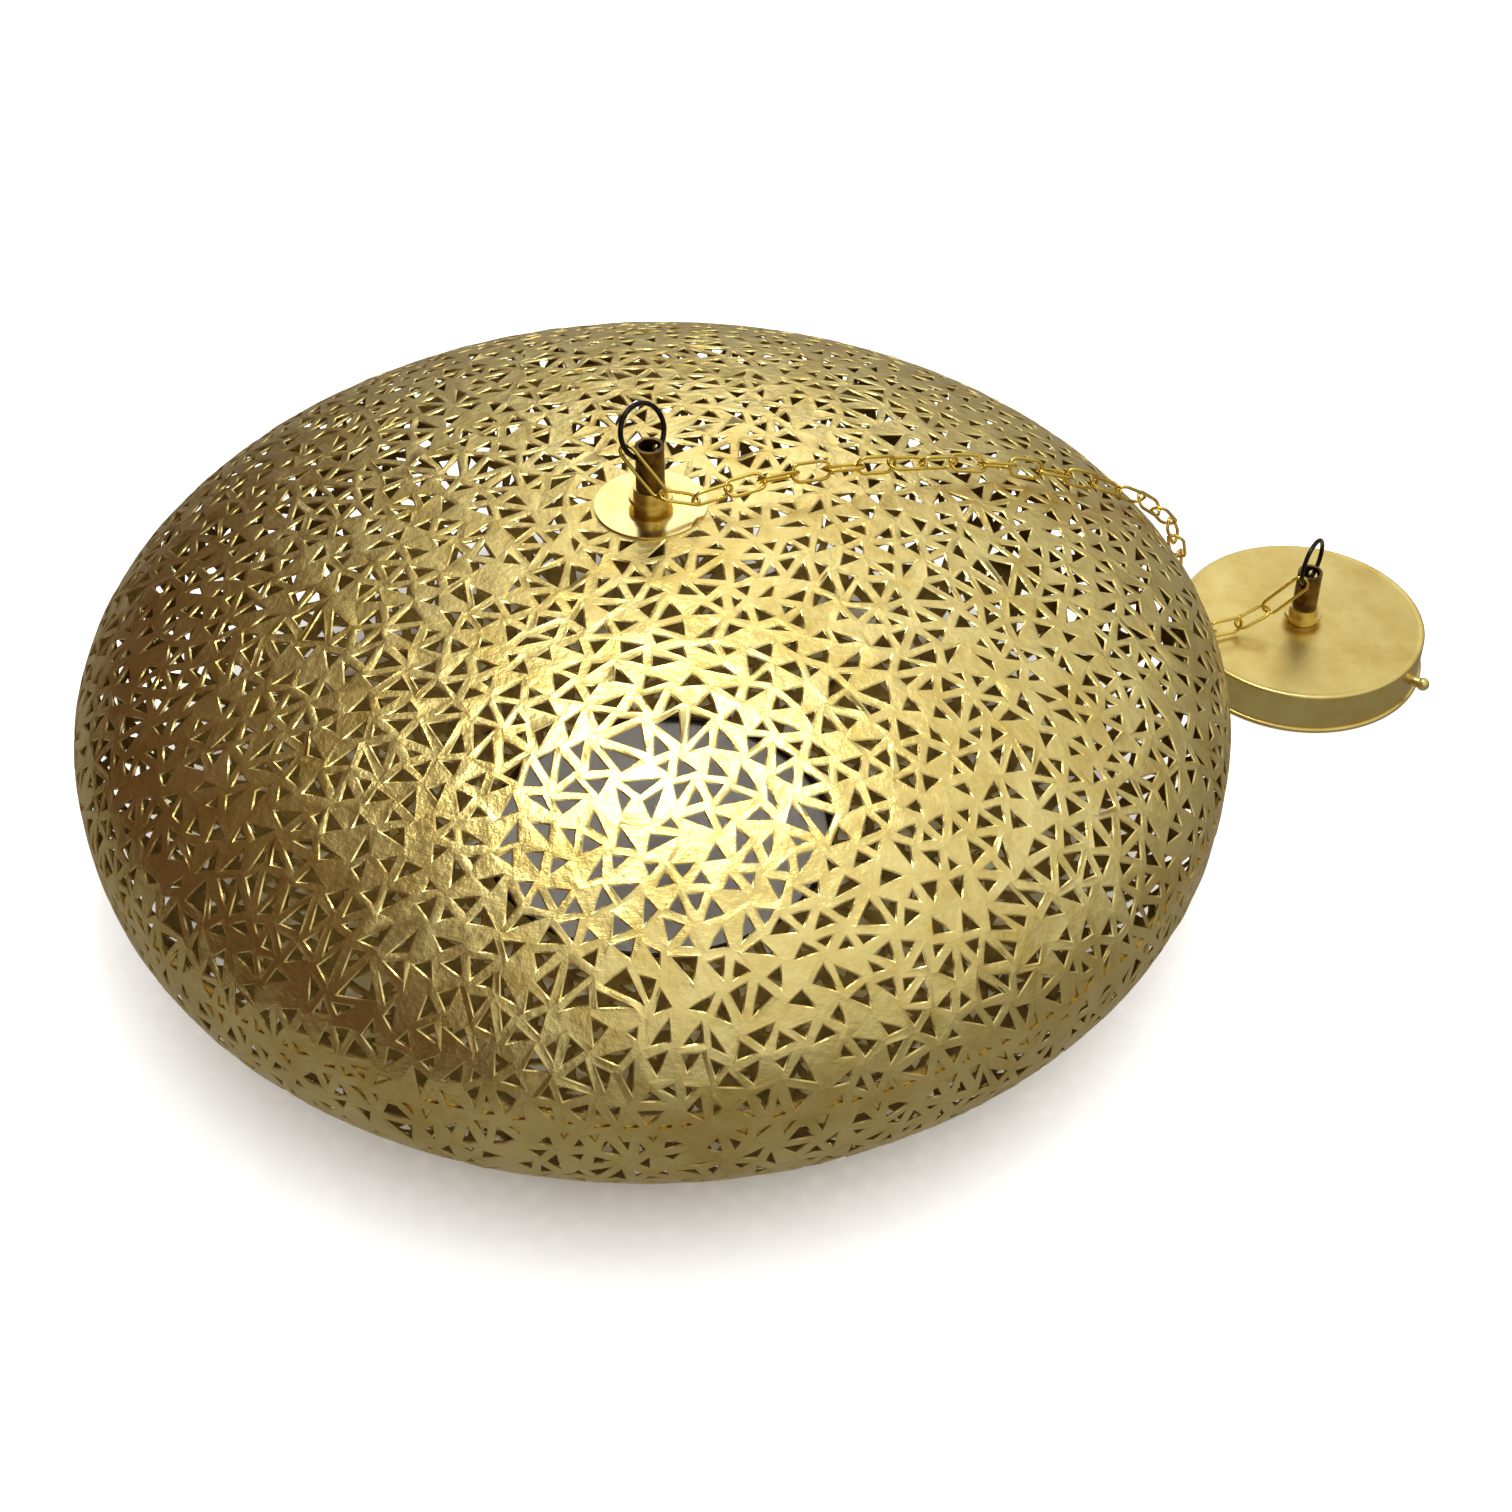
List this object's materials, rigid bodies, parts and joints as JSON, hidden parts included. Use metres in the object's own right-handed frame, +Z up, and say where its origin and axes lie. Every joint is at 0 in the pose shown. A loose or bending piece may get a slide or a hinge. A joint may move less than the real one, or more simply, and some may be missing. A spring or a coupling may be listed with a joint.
{
  "type": "pierced pendant lantern",
  "caption": "Hanging lantern: a wide flattened shade of pierced sheet brass over a screw lamp holder, with hanger stem and ring, link chain and a round ceiling canopy on a bracket.",
  "frame": {"origin": "on the table under the middle of the shade, which stands on the rim of its lower opening; the chain and the canopy lie beside it on the +X side", "axes": "+Z up along the shade's and the stem's axis; +X towards the canopy's side; the view that shows the chain and canopy on the right looks along +Y and down"},
  "size_m": [0.6309, 0.5, 0.2345],
  "materials": {
    "pierced_brass": "spun sheet, hand-chiselled and brushed",
    "brass": "satin, turned or pressed",
    "polished_brass": "polished",
    "patina_brass": "dark brown patina, worn at the edges",
    "brushed_brass": "brushed",
    "chain_brass": "bright, tumbled",
    "steel": "dark, soldered wire",
    "zinc_steel": "zinc plated",
    "blackened_steel": "oil-blackened wire",
    "glazed_ceramic": null
  },
  "bodies": {
    "root": {"upper_shell": "pierced_brass", "lower_shell": "pierced_brass", "seam_band": "brass", "opening_rim": "steel", "top_plate": "polished_brass", "hanger_collar": "brass", "hanger_stem": "patina_brass", "hanger_nipple": "zinc_steel", "hanger_washer": "zinc_steel", "hanger_lock_nut": "zinc_steel", "holder_cap": "polished_brass", "holder_shell": "polished_brass", "ceramic_insulator": "glazed_ceramic", "screw_sleeve": "brass", "terminal_screws": "zinc_steel", "canopy_cover": "brushed_brass", "canopy_collar": "brass", "canopy_stem": "patina_brass", "canopy_nipple": "zinc_steel", "canopy_washer": "zinc_steel", "canopy_lock_nut": "zinc_steel", "ceiling_bracket": "zinc_steel", "terminal_block": "glazed_ceramic", "terminal_block_screws": "brass", "earth_screw": "brass", "earth_washer": "zinc_steel", "first_long_link": "chain_brass", "chain_links": "chain_brass", "last_long_link": "chain_brass"},
    "hanger_ring": {"hanger_ring": "blackened_steel"},
    "canopy_ring": {"canopy_ring": "blackened_steel"},
    "side_screw_front": {"side_screw_front": "brass"},
    "side_screw_rear": {"side_screw_rear": "brass"},
    "centre_contact": {"centre_contact": "brass"}
  },
  "joints": [
    {"name": "hanger_ring_swing", "type": "hinge", "parent": "root", "child": "hanger_ring", "pos_m": [0, 0, 0.21357], "axis": [0.7396, 0.673, 0], "range_deg": [-4, 10]},
    {"name": "canopy_ring_swing", "type": "hinge", "parent": "root", "child": "canopy_ring", "pos_m": [0.3195, 0.1183, 0.0466], "axis": [0.5878, 0.809, 0], "range_deg": [-9, 4]},
    {"name": "side_screw_front_out", "type": "slide", "parent": "root", "child": "side_screw_front", "axis": [0.809, -0.5878, 0], "range_m": [0, 0.0065]},
    {"name": "side_screw_rear_out", "type": "slide", "parent": "root", "child": "side_screw_rear", "axis": [-0.809, 0.5878, 0], "range_m": [0, 0.0065]},
    {"name": "centre_contact_press", "type": "slide", "parent": "root", "child": "centre_contact", "axis": [0, 0, 1], "range_m": [0, 0.0015], "stiffness_N_per_m": 600}
  ]
}
